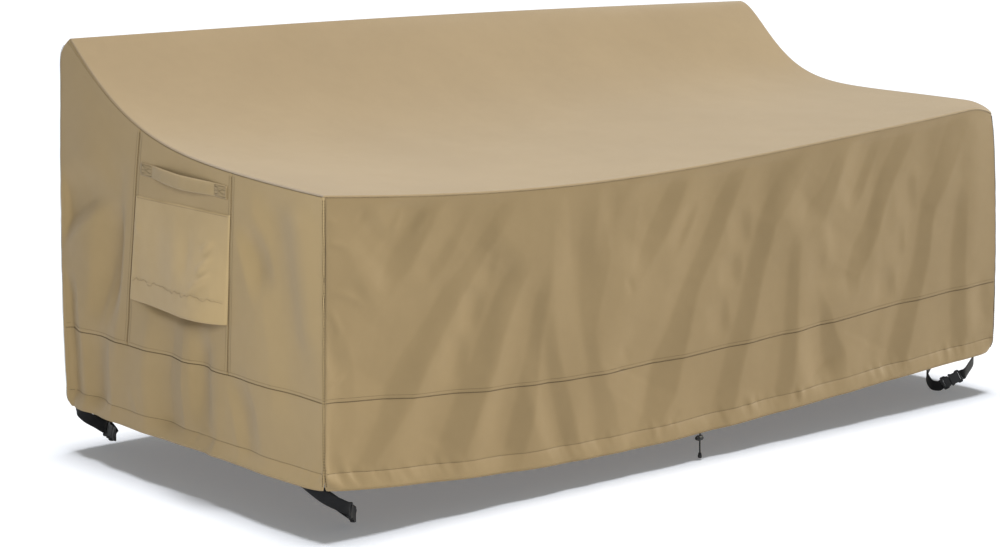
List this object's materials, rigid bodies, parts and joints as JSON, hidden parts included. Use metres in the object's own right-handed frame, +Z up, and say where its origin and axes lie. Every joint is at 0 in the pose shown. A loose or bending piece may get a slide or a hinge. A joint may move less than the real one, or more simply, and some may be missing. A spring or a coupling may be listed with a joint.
{
  "type": "outdoor sofa cover",
  "caption": "Fitted cover of coated cloth for an outdoor sofa with a high back, with side handles, vent flaps, buckled leg straps and a drawcord hem.",
  "frame": {"origin": "under the top cloth, at the middle of the ridge where the sofa's back holds the cover up", "axes": "+X along the cover's length towards its right end as seen from the front, +Y from the front to the back, +Z up"},
  "size_m": [2.1746, 0.9595, 0.9378],
  "materials": {
    "cloth": "tan coated polyester, matte with a faint sheen",
    "handle_cloth": "tan coated polyester, folded and stitched",
    "webbing": "black woven webbing",
    "buckle": "black moulded plastic",
    "cord": "black braided cord"
  },
  "bodies": {
    "root": {"top_panel": "cloth", "front_panel": "cloth", "front_band": "cloth", "back_panel": "cloth", "back_band": "cloth", "left_front_panel": "cloth", "left_vent_panel": "cloth", "left_rear_panel": "cloth", "left_band": "cloth", "left_handle": "handle_cloth", "left_vent_flap": "cloth", "right_front_panel": "cloth", "right_vent_panel": "cloth", "right_rear_panel": "cloth", "right_band": "cloth", "right_handle": "handle_cloth", "right_vent_flap": "cloth", "front_left_outer_strap": "webbing", "front_left_inner_strap": "webbing", "front_left_buckle_socket": "buckle", "front_left_buckle_plug": "buckle", "front_right_outer_strap": "webbing", "front_right_inner_strap": "webbing", "front_right_buckle_socket": "buckle", "front_right_buckle_plug": "buckle", "rear_left_outer_strap": "webbing", "rear_left_inner_strap": "webbing", "rear_left_buckle_socket": "buckle", "rear_left_buckle_plug": "buckle", "rear_right_outer_strap": "webbing", "rear_right_inner_strap": "webbing", "rear_right_buckle_socket": "buckle", "rear_right_buckle_plug": "buckle", "drawcord": "cord", "cord_lock": "buckle", "cord_end": "buckle"}
  },
  "joints": []
}
